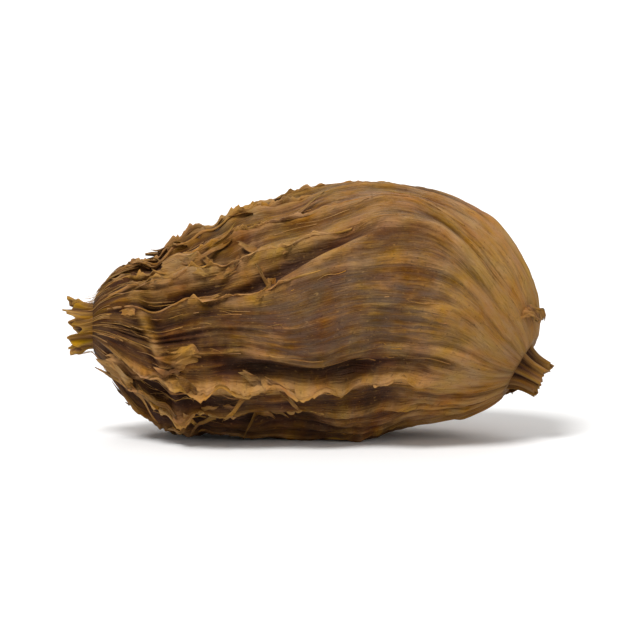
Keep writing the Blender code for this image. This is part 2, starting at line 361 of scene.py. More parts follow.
def fullness(u):
    """The plain outline: share of the full radius at share u of the length, blunt at both ends."""
    before = np.clip((FULLEST - u) / FULLEST, 0.0, 1.0)
    after = np.clip((u - FULLEST) / (1 - FULLEST), 0.0, 1.0)
    tip = (1 - before ** TIP_POWERS[0]) ** TIP_POWERS[1]
    return tip * (1 - after ** BASE_POWERS[0]) ** BASE_POWERS[1]


def creases(u, angle, listed=CREASES):
    """Height of the furrows and folds, each a long bump or groove about its line."""
    height = 0.0
    for start, first, end, last, rise, half_width in listed:
        line = (first + (last - first) * (u - start) / (end - start)) * DEG
        along = ease(start - CREASE_FADE, start + CREASE_FADE, u)
        along = along * (1 - ease(end - CREASE_FADE, end + CREASE_FADE, u))
        height = height + rise * along * bell(turn_between(angle, line), half_width * DEG)
    return height * MM


def waves(listed, u, angle):
    """The sum of the listed waves, which run slantwise round the pod."""
    return sum(size * np.sin(around * angle + along * u + phase) for size, around, along, phase in listed)


def shrivel(u, angle):
    """Hollows and swellings where the husk dried unevenly."""
    height = waves(UNEVEN_WAVES, u, angle)
    for share, middle, half_length, half_width, rise in DENTS:
        away = turn_between(angle, middle * DEG)
        height = height + rise * bell(u - share, half_length) * bell(away, half_width * DEG)
    return ease(0.0, 0.15, u) * (1 - ease(0.88, 1.0, u)) * height * MM


def rib_height(rib, u):
    """Height of the ribs' crests above the husk: low and even on the front lobe, and torn into frills
    towards the narrow end elsewhere."""
    height = np.array(RIB_HEIGHTS)[rib]
    angle = FIRST_RIB + rib * RIB_STEP
    wavy = 1 + 0.25 * np.sin(math.tau * (3.7 * u + spread(rib, 1)))
    middle = FRILL_MIDDLE + 0.10 * (spread(rib, 2) - 0.5)
    quick = np.sin(math.tau * (11 * u + spread(rib, 3)))
    slow = np.sin(math.tau * (4 * u + spread(rib, 4)))
    torn = 0.55 + 0.45 * quick * slow
    frill = FRILL_HEIGHT * np.array(RIB_FRILLS)[rib] * bell(u - middle, FRILL_SPREAD) * torn
    underside = 1 - 0.85 * bell(turn_between(angle, UNDERSIDE), 0.55) * ease(0.05, 0.3, u)
    along = ease(0.0, 0.10, u) * (1 - 0.75 * ease(0.70, 1.0, u))
    return along * underside * (height * MM * wavy + frill)


def lean(u, angle):
    """Slant of the husk's fibres below the front lobe."""
    along = (0.52 - np.clip(u, 0.12, 0.52)) / 0.32 + 0.8 * ease(0.56, 0.86, u)
    return LEAN * bell(turn_between(angle, LEAN_MIDDLE), LEAN_SPREAD) * along


def sway(u, angle):
    """How far the ribs wander sideways."""
    return ease(0.0, 0.12, u) * (1 - ease(0.85, 1.0, u)) * waves(SWAY_WAVES, u, angle) * DEG


def plain_radius(u, angle):
    """Radius of the husk between its ribs."""
    lobes = 1 + LOBE_SWELL * np.cos(3 * (angle - LOBE_MIDDLE))
    along = ease(0.25, 0.5, u) * (1 - ease(0.75, 1.0, u))
    front = FRONT_SWELL * along * bell(turn_between(angle, LOBE_MIDDLE), 28 * DEG)
    plain = lobes * fullness(u) * HALF_HEIGHT + front + shrivel(u, angle) + creases(u, angle)
    neck = CUP_RADIUS * np.clip(1 - u, 0.0, 1.0) ** 9
    return np.maximum(np.hypot(np.maximum(plain, 0.0), neck), STUB_RADIUS)


def turned(x, y, z):
    """The points with the round end turned down to its scar, and nothing below the floor."""
    share = ease(NECK_X + 0.42 * LENGTH, NECK_X + 0.96 * LENGTH, x)
    axis = np.array(TURN_AXIS) / np.linalg.norm(TURN_AXIS)
    arm = np.stack(np.broadcast_arrays(x, y, z), axis=-1) - np.array(TURN_MIDDLE)
    angle = TURN_ANGLE * np.broadcast_to(share, arm.shape[:-1])[..., None]
    along = (arm @ axis)[..., None] * axis
    across = arm - along
    points = np.array(TURN_MIDDLE) + along + np.cos(angle) * across + np.sin(angle) * np.cross(axis, arm)
    points[..., 2] = np.maximum(points[..., 2], 0.0)
    return points


def droop(u):
    """How much lower the husk's middle line lies towards the narrow end, whose nib bends up again."""
    return TIP_DROP * np.clip(1 - u / FULLEST, 0.0, 2.0) ** 1.3 - NIB_RISE * (1 - ease(0.0, NIB_SHARE, u))


def husk_points(u, angle, raised=0.0, sideways=0.0):
    """Points of the husk, raised above it and moved sideways by a rib or a frill."""
    radius = plain_radius(u, angle)
    heading = angle + lean(u, angle) + sway(u, angle) + sideways / radius
    radius = radius + raised
    x = NECK_X + u * LENGTH
    y = -radius * HALF_WIDTH / HALF_HEIGHT * np.cos(heading)
    z = BODY_Z - droop(u) + radius * np.sin(heading)
    return turned(x, y, z)


def grain_at(u, angle, shift=0.0):
    """Where the fibres run: millimetres along the pod, and round an even cylinder, moved by a shift so that
    pieces on top of each other don't share their streaks."""
    u, angle, shift = np.broadcast_arrays(u, angle, shift)
    along = u * LENGTH / MM + shift
    return np.stack([along, GRAIN_RADIUS * np.cos(angle) + shift, GRAIN_RADIUS * np.sin(angle)], axis=-1)


def skin_faces(rings, around, zipped):
    """Quads and triangles of one closed skin of rings. Its ends are zipped flat, each point to the one
    across the blade, or closed by a fan to a pole."""
    ring, step = np.meshgrid(np.arange(rings - 1), np.arange(around), indexing="ij")
    here, there = ring * around + step, ring * around + (step + 1) % around
    quads = np.stack([here, here + around, there + around, there], axis=-1).reshape(-1, 4)
    top = (rings - 1) * around
    if zipped:
        k = np.arange(around // 2 - 1)
        first = np.stack([k, k + 1, around - 2 - k, around - 1 - k], axis=-1)
        return np.concatenate([quads, first, top + first[:, ::-1]]), np.zeros((0, 3), int)
    k = np.arange(around)
    following = (k + 1) % around
    pole = np.full(around, rings * around)
    fans = [np.stack([pole, k, following], axis=-1), np.stack([pole + 1, top + following, top + k], axis=-1)]
    return quads, np.concatenate(fans)


def inside_out(points):
    """For each skin, whether faces in the order of skin_faces would look inwards: the sign of the sum of
    the volumes between the skin's middle and its quads."""
    arms = points - points.mean(axis=(1, 2), keepdims=True)
    following = np.roll(arms, -1, axis=2)
    diagonals = following[:, 1:] - arms[:, :-1], following[:, :-1] - arms[:, 1:]
    return (arms[:, :-1] * np.cross(*diagonals)).sum(axis=(1, 2, 3)) < 0


def skin_object(name, points, grain, tone, bloom=0.0, zipped=True):
    """A piece of closed skins. points is (skins, rings, around, 3), and grain, tone and bloom are given at
    the same points for the material."""
    skins, rings, around, _ = points.shape
    tone = np.broadcast_to(tone, points.shape[:3])
    bloom = np.broadcast_to(bloom, points.shape[:3])
    layers = np.concatenate([points, grain, tone[..., None], bloom[..., None]], axis=-1)
    rows = layers.reshape(skins, rings * around, -1)
    if not zipped:
        rows = np.concatenate([rows, layers[:, :1].mean(axis=2), layers[:, -1:].mean(axis=2)], axis=1)
    quads, triangles = skin_faces(rings, around, zipped)
    inward = inside_out(points)[:, None, None]
    offsets = np.arange(skins)[:, None, None] * rows.shape[1]
    quads = np.where(inward, quads[:, ::-1], quads) + offsets
    triangles = np.where(inward, triangles[:, ::-1], triangles) + offsets
    faces = quads.reshape(-1, 4).tolist() + triangles.reshape(-1, 3).tolist()
    rows = rows.reshape(-1, rows.shape[-1])
    mesh = bpy.data.meshes.new(name)
    mesh.from_pydata(rows[:, :3], [], faces)
    mesh.attributes.new("grain", "FLOAT_VECTOR", "POINT").data.foreach_set("vector", rows[:, 3:6].ravel())
    mesh.attributes.new("tone", "FLOAT", "POINT").data.foreach_set("value", rows[:, 6].copy())
    mesh.attributes.new("bloom", "FLOAT", "POINT").data.foreach_set("value", rows[:, 7].copy())
    mesh.shade_smooth()
    obj = bpy.data.objects.new(name, mesh)
    bpy.context.scene.collection.objects.link(obj)
    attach(obj, BODY)
    return obj


def softened(values, rows, columns):
    """The values averaged over a window of rows and columns, closed round the pod."""
    total = sum(np.roll(values, step, axis=1) for step in range(-columns, columns + 1)) / (2 * columns + 1)
    padded = np.pad(total, ((rows, rows), (0, 0)), mode="edge")
    return sum(padded[step : step + len(values)] for step in range(2 * rows + 1)) / (2 * rows + 1)


def ramp(tree, stops, factor):
    """A colour ramp through (position, colour) stops, read at a factor."""
    node = tree.nodes.new("ShaderNodeValToRGB")
    while len(node.color_ramp.elements) < len(stops):
        node.color_ramp.elements.new(1.0)
    for element, (position, colour) in zip(node.color_ramp.elements, stops):
        element.position = position
        element.color = (*colour, 1.0)
    tree.links.new(factor, node.inputs["Fac"])
    return node.outputs["Color"]


def noise(tree, vector, scale, detail, rough=0.55, distortion=0.0):
    """A noise texture's factor at a vector."""
    node = tree.nodes.new("ShaderNodeTexNoise")
    node.inputs["Scale"].default_value = scale
    node.inputs["Detail"].default_value = detail
    node.inputs["Roughness"].default_value = rough
    node.inputs["Distortion"].default_value = distortion
    tree.links.new(vector, node.inputs["Vector"])
    return node.outputs["Fac"]


def maths(tree, operation, first, second=0.0, third=0.0):
    """One maths node. Each input is a socket or a number."""
    node = tree.nodes.new("ShaderNodeMath")
    node.operation = operation
    for socket, value in zip(node.inputs, (first, second, third)):
        if isinstance(value, bpy.types.NodeSocket):
            tree.links.new(value, socket)
        else:
            socket.default_value = value
    return node.outputs[0]


def stretched(tree, vector, along):
    """The grain's vector squeezed along the pod, so that a noise on it is drawn out into fibres."""
    node = tree.nodes.new("ShaderNodeMapping")
    node.inputs["Scale"].default_value = (along, 1.0, 1.0)
    tree.links.new(vector, node.inputs["Vector"])
    return node.outputs["Vector"]


def blended(tree, factor, first, second):
    """A mix of two colours, each a socket or a colour."""
    node = tree.nodes.new("ShaderNodeMix")
    node.data_type = "RGBA"
    tree.links.new(factor, node.inputs["Factor"])
    for name, value in (("A", first), ("B", second)):
        socket = next(s for s in node.inputs if s.name == name and s.type == "RGBA")
        if isinstance(value, bpy.types.NodeSocket):
            tree.links.new(value, socket)
        else:
            socket.default_value = (*value, 1.0)
    return next(s for s in node.outputs if s.type == "RGBA")


def varied(tree, colour, vector):
    """The colour shifted here to red and there to yellow, and dulled or deepened, in patches of a few
    millimetres."""
    node = tree.nodes.new("ShaderNodeHueSaturation")
    hue = maths(tree, "SUBTRACT", noise(tree, vector, 0.50, 5, 0.60, 0.2), 0.5)
    depth = maths(tree, "SUBTRACT", noise(tree, vector, 0.70, 3, 0.6, 0.2), 0.5)
    tree.links.new(maths(tree, "MULTIPLY_ADD", hue, 0.060, 0.5), node.inputs["Hue"])
    tree.links.new(maths(tree, "MULTIPLY_ADD", depth, 0.55, 1.02), node.inputs["Saturation"])
    tree.links.new(colour, node.inputs["Color"])
    return node.outputs["Color"]


def husk_material(name, dark, middle, light, bloom, lift=0.0, contrast=1.0, relief=1.0):
    """Dry fibrous husk, coloured from dark to pale by its tone: dark in its hollows, partly as painted
    shade, and pale on crests rubbed by wear and where painted light is laid, streaked along the grain, with
    fine raised fibres. lift makes it paler all over, and relief scales the fibres' bump."""
    material = bpy.data.materials.new(name)
    material.use_nodes = True
    tree = material.node_tree
    shader = tree.nodes["Principled BSDF"]
    attributes = {}
    for attribute in ("grain", "tone", "bloom"):
        attributes[attribute] = tree.nodes.new("ShaderNodeAttribute")
        attributes[attribute].attribute_name = attribute
    grain = attributes["grain"].outputs["Vector"]
    tone = attributes["tone"].outputs["Fac"]

    coarse = noise(tree, stretched(tree, grain, 0.13), 1.9, 5, 0.6, 0.2)
    mottle = noise(tree, stretched(tree, grain, 0.45), 1.4, 4, 0.6, 0.3)
    fibre = noise(tree, stretched(tree, grain, 0.06), 6.0, 6, 0.65)
    hair = noise(tree, stretched(tree, grain, 0.04), 17.0, 3, 0.6)
    blotch = noise(tree, grain, 0.42, 3, 0.5, 0.3)
    speck = noise(tree, grain, 5.5, 2, 0.6)
    fleck = noise(tree, stretched(tree, grain, 0.45), 8.5, 2, 0.5)

    # The tone carries painted shade in the hollows and painted light and shade by region, as well as real
    # wear
    value = maths(tree, "MULTIPLY_ADD", maths(tree, "SUBTRACT", tone, 0.5), contrast, 0.5 + lift)
    weights = ((coarse, 0.30), (mottle, 0.50), (fibre, 0.46), (hair, 0.60), (blotch, 0.45))
    for source, weight in weights:
        value = maths(tree, "MULTIPLY_ADD", maths(tree, "SUBTRACT", source, 0.5), weight, value)
    deep = tuple(0.58 * c for c in dark)
    brown = tuple(0.45 * m + 0.55 * d for m, d in zip(middle, dark))
    tan = tuple(0.5 * m + 0.5 * c for m, c in zip(middle, light))
    stops = ((0.02, deep), (0.20, dark), (0.36, brown), (0.52, middle), (0.70, tan), (0.92, light))
    colour = ramp(tree, stops, value)

    streak = maths(tree, "SUBTRACT", noise(tree, stretched(tree, grain, 0.13), 3.1, 4, 0.6), 0.40)
    streak = maths(tree, "MULTIPLY", maths(tree, "MAXIMUM", streak, 0.0), 4.0)
    grey = maths(tree, "MINIMUM", maths(tree, "MULTIPLY", streak, attributes["bloom"].outputs["Fac"]), 0.85)
    colour = blended(tree, grey, colour, bloom)
    spot = maths(tree, "MULTIPLY", maths(tree, "MAXIMUM", maths(tree, "SUBTRACT", speck, 0.60), 0.0), 3.2)
    colour = blended(tree, spot, colour, deep)
    dust = maths(tree, "MULTIPLY", maths(tree, "MAXIMUM", maths(tree, "SUBTRACT", fleck, 0.62), 0.0), 3.0)
    colour = blended(tree, dust, colour, light)
    tree.links.new(varied(tree, colour, grain), shader.inputs["Base Color"])

    rough = maths(tree, "MULTIPLY_ADD", fibre, 0.30, 0.52)
    tree.links.new(rough, shader.inputs["Roughness"])
    shader.inputs["Specular IOR Level"].default_value = 0.16
    height = maths(tree, "MULTIPLY_ADD", hair, 0.55, fibre)
    height = maths(tree, "MULTIPLY_ADD", coarse, 0.6, height)
    height = maths(tree, "MULTIPLY_ADD", speck, -0.25, height)
    bump = tree.nodes.new("ShaderNodeBump")
    bump.inputs["Strength"].default_value = 0.9
    bump.inputs["Distance"].default_value = 0.30 * MM * relief
    tree.links.new(height, bump.inputs["Height"])
    tree.links.new(bump.outputs["Normal"], shader.inputs["Normal"])
    return material


def husk_relief(u, angle, wrinkle):
    """Relief too fine for the solid: fine creases, lengthwise wrinkles, sharp raised fibres and small lumps.
    It is calmer on the front lobe and the shoulder over it, deeper where the ribs draw together at the
    round end, and fades out at the two ends."""
    calm = 1.45 - 1.05 * ease(0.30, 0.50, u) * ease(-0.15, 0.55, np.cos(angle - 35 * DEG))
    folds = lattice(u, angle, 6, 54, 11)
    veins = 0.95 * (1 - 2 * np.abs(lattice(u, angle + 0.03 * np.sin(9 * u), 7, 84, 12)))
    fibres = 0.40 * (1 - 2 * np.abs(lattice(u, angle, 20, 150, 13)))
    lumps = 0.50 * lattice(u, angle, 30, 24, 14)
    crosswise = 0.55 * lattice(u, angle, 90, 34, 15) * (1 - ease(0.25, 0.5, u))
    calm = calm + 0.9 * ease(0.68, 0.86, u)
    ends = ease(0.0, 0.06, u) * (1 - 0.6 * ease(0.93, 1.0, u))
    fine = wrinkle * (calm * (folds + veins) + fibres + lumps + crosswise)
    return ends * (fine + creases(u, angle, FINE_CREASES))


def husk_surface(settings):
    """The fine husk: the solid's rings, with each rib as a smooth crest that falls to its foot and then to
    the valley, torn along the top, plus the fine relief. Returns points, grain, tone and bloom."""
    flat, blunt = BASE_POWERS
    last = FULLEST + (1 - FULLEST) * (1 - (SCAR_RADIUS / HALF_HEIGHT) ** (1 / blunt)) ** (1 / flat)
    turns = np.linspace(0.04, 0.95, settings.rows) * math.pi
    shares = (1 - np.cos(turns)) / 2
    u = ((shares - shares[0]) / (shares[-1] - shares[0]) * last)[:, None]
    rib = np.repeat(np.arange(RIBS), settings.across_rib)[None, :]
    phase = np.tile((np.arange(settings.across_rib) + 0.5) / settings.across_rib - 0.5, RIBS)[None, :]
    middle = FIRST_RIB + rib * RIB_STEP
    angle = middle + phase * RIB_STEP
    radius = plain_radius(u, middle)
    away = np.abs(phase) * RIB_STEP
    foot = np.minimum(FOOT_HALF_WIDTH / radius, 0.30 * RIB_STEP)
    crest = np.minimum(CREST_HALF_WIDTH / radius, 0.11 * RIB_STEP)
    low = FOOT_SHARE * (1 - ease(foot, RIB_STEP / 2, away))
    flank = np.clip((away - 0.25 * crest) / (foot - 0.25 * crest), 0.0, 1.0)
    high = (1 - FOOT_SHARE) * (1 - flank) ** 1.5
    height = rib_height(rib, u)
    notch = ease(0.20, 0.85, lattice(u, middle, 84, RIBS, 21))
    notch = notch + 0.4 * ease(0.2, 0.7, lattice(u, middle, 190, RIBS, 22))
    torn = 1 - (0.34 - 0.20 * ease(0.3, 0.7, u)) * notch
    raised = (low + high * torn) * height
    wave = np.sin(math.tau * (FRILL_WAVES * u + spread(rib, 7)))
    swing = np.minimum(FRILL_SWING * height / FRILL_HEIGHT, SWING_LIMIT * RIB_STEP * radius) * high * wave
    relief = husk_relief(u, angle, settings.wrinkle)
    points = husk_points(u, angle, raised + relief, swing)

    # Tone from the relief: crests paler, as real wear, and hollows, fine and broad, darker as painted shade;
    # then painted light and shade by region
    level = plain_radius(u, angle) + raised + relief
    near = (level - softened(level, 3, 6)) / (0.20 * MM)
    far = (level - softened(level, 14, 22)) / (0.75 * MM)
    wide = np.where(far > 0, 0.28, 0.22) * np.tanh(far)
    tone = 0.50 + 0.22 * np.tanh(near) + wide + painted_light_and_wear(u, angle)
    along = ease(0.22, 0.42, u) * (1 - ease(0.72, 0.92, u))
    bloom = along * bell(turn_between(angle, LOBE_MIDDLE), 30 * DEG)
    return points, grain_at(u, angle), np.clip(tone, 0.0, 1.0), bloom


def painted_light_and_wear(u, angle):
    """How much paler or darker the husk is by region. Painted light: paler on the shoulder over the front
    lobe and round the stalk, where the light falls. Painted shade: darker in the middle of the lobe, under
    the pod and at its narrow end. The husk's own colour: pale on the torn ridge and on the fold that runs up
    from the nib."""
    # painted highlight: the shoulder over the front lobe paler, as if lit from above
    shoulder = 0.20 * bell(turn_between(angle, 66 * DEG), 0.50) * ease(0.15, 0.4, u)
    fold = 0.16 * bell(turn_between(angle, 38 * DEG), 0.16) * bell(u - 0.18, 0.13)
    # painted light: the round end by the stalk paler
    stalk = 0.36 * ease(0.66, 0.90, u)
    # painted shade: the middle of the front lobe and the underside darker
    lobe = 0.10 * bell(turn_between(angle, 2 * DEG), 0.40) * bell(u - 0.55, 0.20)
    under = 0.14 * bell(turn_between(angle, -80 * DEG), 0.60)
    ridge = 0.16 * bell(turn_between(angle, -36 * DEG), 0.11) * bell(u - 0.42, 0.22)
    # painted shade: the narrow end darker
    tip = 0.12 * (1 - ease(0.20, 0.45, u))
    return shoulder + fold + stalk - lobe - under + ridge - tip


def end_points(u, along, radius, angle, ragged=0.0, teeth=CUP_TEETH):
    """Points of a round ring beyond the husk's end at share u, torn into uneven teeth."""
    tooth = ragged * (0.6 * np.sin(teeth * angle + 0.9) + 0.4 * np.sin((2 * teeth + 1) * angle + 2.2))
    x = NECK_X + u * LENGTH + along + tooth
    return turned(x, -radius * np.cos(angle), BODY_Z - droop(u) + radius * np.sin(angle))


class OBJECT_OT_pod_husk(bpy.types.Operator):
    """Build the fine ribbed husk in place of the plain solid"""

    bl_idname = "object.pod_husk"
    bl_label = "Husk"

    def execute(self, context):
        settings = context.scene.pod_husk
        points, grain, tone, bloom = husk_surface(settings)
        obj = skin_object("husk", points[None], grain[None], tone[None], bloom[None], zipped=False)
        obj.data.materials.append(
            husk_material("husk_skin", settings.dark, settings.middle, settings.light, settings.bloom)
        )
        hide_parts(NODE)
        return {"FINISHED"}


class OBJECT_OT_pod_frills(bpy.types.Operator):
    """Build the torn, wavy frills that stand on the ribs"""

    bl_idname = "object.pod_frills"
    bl_label = "Frills"

    stations: IntProperty(name="Stations", description="Rings along each frill", default=150, min=20)
    around: IntProperty(name="Around", description="Points round each frill's section", default=10, min=6)

    def execute(self, context):
        settings = context.scene.pod_torn
        ribs = np.array([rib for rib in range(RIBS) if RIB_FRILLS[rib] >= 0.30])
        rib = ribs[:, None, None]
        share = np.linspace(0, 1, self.stations)[None, :, None]
        p = section(self.around)
        fully = np.array(RIB_FRILLS)[rib]
        reach = np.where(rib == RIDGE_RIB, RIDGE_REACH, 0.40 + 0.38 * fully * (0.5 + 0.5 * spread(rib, 31)))
        u = 0.035 + (reach - 0.035) * share
        angle = FIRST_RIB + rib * RIB_STEP
        up = (1 + np.cos(p)) / 2
        thick = settings.frill_thickness * (1 - 0.72 * up) * np.sin(p) / 2
        jagged = 0.50 + 0.50 * lattice(u, angle, 95, RIBS, 32) + 0.35 * lattice(u, angle, 210, RIBS, 33)
        gaps = ease(-0.35, 0.25, lattice(u, angle, 17, RIBS, 34))
        ends = ease(0.0, 0.08, share) * (1 - ease(0.80, 1.0, share))
        underside = 1 - bell(turn_between(angle, UNDERSIDE), 0.5)
        calmer = 1 - 0.55 * ease(0.30, 0.65, u)
        rise = settings.frill_rise * np.clip(jagged, 0.05, 1.4) * gaps * ends * underside * calmer
        height = rib_height(rib, u)
        raised = 0.72 * height * (1 - up) + (height + rise) * up - 0.10 * MM * (1 - up)
        most = SWING_LIMIT * RIB_STEP * plain_radius(u, angle)
        swing = np.minimum(FRILL_SWING * height / FRILL_HEIGHT, most)
        wave = np.sin(math.tau * (FRILL_WAVES * u + spread(rib, 7)))
        curl = 1.1 * rise * up**2 * lattice(u, angle, 48, RIBS, 35)
        points = husk_points(u, angle, raised, swing * wave + thick + curl)
        grain = grain_at(u, angle + 0.05 * up, 40.0)
        tone = 0.42 + 0.40 * up + 0.15 * lattice(u, angle, 60, RIBS, 36)
        obj = skin_object("rib_frills", points, grain, tone)
        obj.data.materials.append(torn_material(context))
        return {"FINISHED"}


def blades(u, angle, half, level, thickness, shape):
    """Thin blades lying along the husk: side is half the width times the cosine round the section, and the
    thickness goes with its sine. shape is the section's parameter from 0 to a full turn."""
    side = half * np.cos(shape)
    return husk_points(u, angle, level + thickness * np.sin(shape) / 2, side)


def strip_blades(strips, towards, thickness, stations, around):
    """The loose strips: each leaves the husk flat, lifts, turns sideways, narrows and ends in a frayed
    edge, where every place across it has a length of its own. Returns points, grain and tone."""
    angle_deg, root, length_mm, width_mm, turn_deg = (np.array(c)[:, None, None] for c in zip(*strips))
    index = np.arange(len(strips))[:, None, None] + 5 * (towards > 0)
    share = np.linspace(0, 1, stations)[None, :, None]
    p = section(around)
    across = np.cos(p)
    fray = 0.5 + 0.5 * np.sin(8.3 * across + 2.4 * index) * np.cos(14.7 * across + 1.9 * index)
    share = share * (1 - 0.34 * fray)
    u = root + towards * share * length_mm * MM / LENGTH
    angle = (angle_deg + turn_deg * share**2) * DEG
    lift = STRIP_LIFT * share**1.4 - STRIP_ROOT_DEPTH * (1 - share) ** 2
    lift = lift + (0.45 if towards > 0 else 0.08) * MM * ease(0.0, 0.3, share)
    ragged = 0.22 * np.sin(math.tau * (2.6 * share + spread(index, 8))) + 0.10 * np.sin(31 * share + index)
    half = width_mm * MM * (1 - 0.70 * share**1.5) * (1 + ragged) / 2
    cupped = 0.30 * half * across**2 * np.sin(3.0 * share + index)
    wavy = 0.10 * np.sin(9 * share + 2.5 * across + index) + 0.05 * np.sin(23 * share - 6 * across)
    furrows = 0.05 * np.cos(15 * across + index)
    level = lift + cupped + (share * wavy + furrows) * MM
    points = blades(u, angle, half, level, thickness * (1 - 0.55 * share), p)
    grain = grain_at(u, angle + 0.16 * across, 70.0 + 9.0 * index)
    tone = 0.44 + 0.22 * share + 0.16 * np.abs(across) ** 3 + 0.10 * np.cos(15 * across + index) + 0 * p
    return points, grain, tone


class OBJECT_OT_pod_strips(bpy.types.Operator):
    """Build the loose strips of husk and the small torn flakes"""

    bl_idname = "object.pod_strips"
    bl_label = "Torn strips"

    def execute(self, context):
        settings = context.scene.pod_torn
        material = torn_material(context)
        tip = strip_blades(TIP_STRIPS, -1, settings.strip_thickness, 40, 28)
        base = strip_blades(BASE_STRIPS, 1, settings.strip_thickness, 40, 28)
        points, grain, tone = (np.concatenate(pair) for pair in zip(tip, base))
        skin_object("torn_strips", points, grain, tone).data.materials.append(material)

        points, grain, tone = flake_blades(settings.flakes)
        skin_object("torn_flakes", points, grain, tone).data.materials.append(material)
        return {"FINISHED"}


def flake_blades(count):
    """Small torn flakes: short narrow blades that start inside a rib's crest and curl up off it, most of
    them towards the narrow end."""
    ribs = np.array([rib for rib in range(RIBS) if RIB_FRILLS[rib] > 0.3 and rib not in BARE_RIBS])
    pick, place, aside, size, breadth, twist, way, curl, shade = (
        values[:, None, None] for values in scattered(count, 9, 12)
    )
    index = np.arange(count)[:, None, None]
    rib = ribs[(pick * len(ribs)).astype(int)]
    root = 0.08 + 0.40 * place**1.3
    angle_deg = (FIRST_RIB + rib * RIB_STEP) / DEG + 6 * (aside - 0.5)
    length_mm = 0.8 + 1.5 * size**2
    width_mm = 0.40 + 0.60 * breadth
    turn_deg = 26 * (twist - 0.5)
    share = np.linspace(0, 1, 14)[None, :, None]
    p = section(10)
    across = np.cos(p)
    share = share * (1 - 0.30 * (0.5 + 0.5 * np.sin(5 * across + 2.1 * index)))
    towards = np.where(way > 0.3, -1, 1)
    u = root + towards * share * length_mm * MM / LENGTH
    angle = (angle_deg + turn_deg * share) * DEG
    lift = rib_height(rib, u) - 0.25 * MM + share**1.6 * (0.25 + 0.45 * curl) * MM
    half = width_mm * MM * (1 - 0.72 * share) / 2
    level = lift + 0.35 * half * across**2 + 0.05 * MM * np.sin(11 * share + index)
    points = blades(u, angle, half, level, 0.11 * MM * (1 - 0.5 * share), p)
    grain = grain_at(u, angle + 0.06 * across, 11.0 * index)
    tone = 0.45 + 0.35 * share + 0.20 * (shade - 0.5) + 0 * p
    return points, grain, tone


def torn_material(context):
    """The frills', strips' and flakes' papery husk, paler than the skin."""
    material = bpy.data.materials.get("torn_husk")
    if material is None:
        husk = context.scene.pod_husk
        colours = husk.dark, husk.middle, husk.light, husk.bloom
        material = husk_material("torn_husk", *colours, lift=0.13, relief=0.8)
    return material


class OBJECT_OT_pod_ends(bpy.types.Operator):
    """Build the flower's frayed cup and the broken stalk"""

    bl_idname = "object.pod_ends"
    bl_label = "Cup and stalk"

    around: IntProperty(name="Around", description="Points round each end", default=144, min=24)

    def execute(self, context):
        settings = context.scene.pod_ends
        husk = context.scene.pod_husk
        angle = (math.tau * np.arange(self.around) / self.around)[None, :]
        cup = skin_object("flower_cup", *self.cup_surface(angle), zipped=False)
        stalk = skin_object("stalk_stub", *self.stub_surface(angle), zipped=False)
        for obj, name, pale in ((cup, "cup_husk", settings.cup), (stalk, "stalk_wood", husk.light)):
            colours = husk.dark, settings.stalk, pale, husk.bloom
            obj.data.materials.append(husk_material(name, *colours, contrast=1.2, relief=0.7))
        return {"FINISHED"}

    def cup_surface(self, angle):
        """A thin fluted wall of revolution: out along its outside from within the husk, over a torn rim, and
        down its inside to a closed bottom."""
        outer = np.linspace(0, 1, 26)[:, None]
        inner = np.linspace(1, 0, 22)[:, None]
        flute = 0.07 * np.cos(10 * angle + 0.6) + 0.05 * np.cos(23 * angle + 1.9)
        torn = 0.30 * MM * lattice(0.3, angle, 4, 34, 41) + 0.16 * MM * lattice(0.7, angle, 4, 72, 42)
        rim = CUP_LENGTH + 0.05 * MM + torn
        wall = 0.16 * MM
        flare = 1.0 + 0.10 * outer**3 - 0.12 * np.sin(math.pi * outer)
        out_radius = CUP_RADIUS * flare * (1 + flute * outer)
        out_along = 0.7 * MM - outer * (0.7 * MM + rim)
        in_radius = (CUP_RADIUS * (1.10 + flute) - wall) * (0.30 + 0.70 * inner**0.6)
        in_along = (CUP_DEPTH - CUP_LENGTH) - inner * (rim + CUP_DEPTH - CUP_LENGTH)
        radius = np.concatenate([out_radius, in_radius])
        along = np.concatenate([out_along, in_along])
        points = end_points(0.0, along, radius, angle, 0.34 * MM * np.concatenate([outer**2, inner**2]))
        # Outside paler towards the rim and on the flutes; inside darker down to nearly black at the bottom,
        # which is painted shade in the cup's hollow
        outside = 0.35 + (0.45 + 2.2 * flute) * outer
        tone = np.concatenate([outside, 0.05 + 0.65 * inner**3 + 0 * angle])
        grain = grain_at(np.concatenate([-0.05 * outer, 0.3 + 0.05 * inner]), angle, 21.0)
        return points[None], grain[None], np.clip(tone, 0, 1)[None]

    def stub_surface(self, angle):
        """A fluted stump in the sunken scar: up its side from within the scar, over a splintered edge, and
        in across the broken end."""
        side = np.linspace(0, 1, 24)[:, None]
        end = np.linspace(1, 0.12, 12)[:, None]
        flute = 0.09 * np.cos(9 * angle + 0.4) + 0.06 * np.cos(16 * angle + 2.0)
        splinter = 0.16 * MM * lattice(0.4, angle, 4, 26, 43) + 0.10 * MM * lattice(0.8, angle, 4, 60, 44)
        top = STUB_LENGTH - SCAR_DEPTH + splinter
        bottom = -0.9 * MM
        foot = 1 + 0.75 * (1 - side) ** 3
        radius = np.concatenate([STUB_RADIUS * foot * (0.92 + flute), STUB_RADIUS * (0.92 + flute) * end])
        along = np.concatenate([bottom + side * (top - bottom), top * end + (top - 0.35 * MM) * (1 - end)])
        points = end_points(1.0, along, radius, angle, 0.16 * MM * np.concatenate([side**4, end**2]), 3)
        tone = np.concatenate([0.22 + 0.45 * side + 2.0 * flute, 0.20 + 0.55 * end + 0 * angle])
        grain = grain_at(1.0 + 0.05 * np.concatenate([side, 1 + 0.2 * end]), angle, 33.0)
        return points[None], grain[None], np.clip(tone, 0, 1)[None]


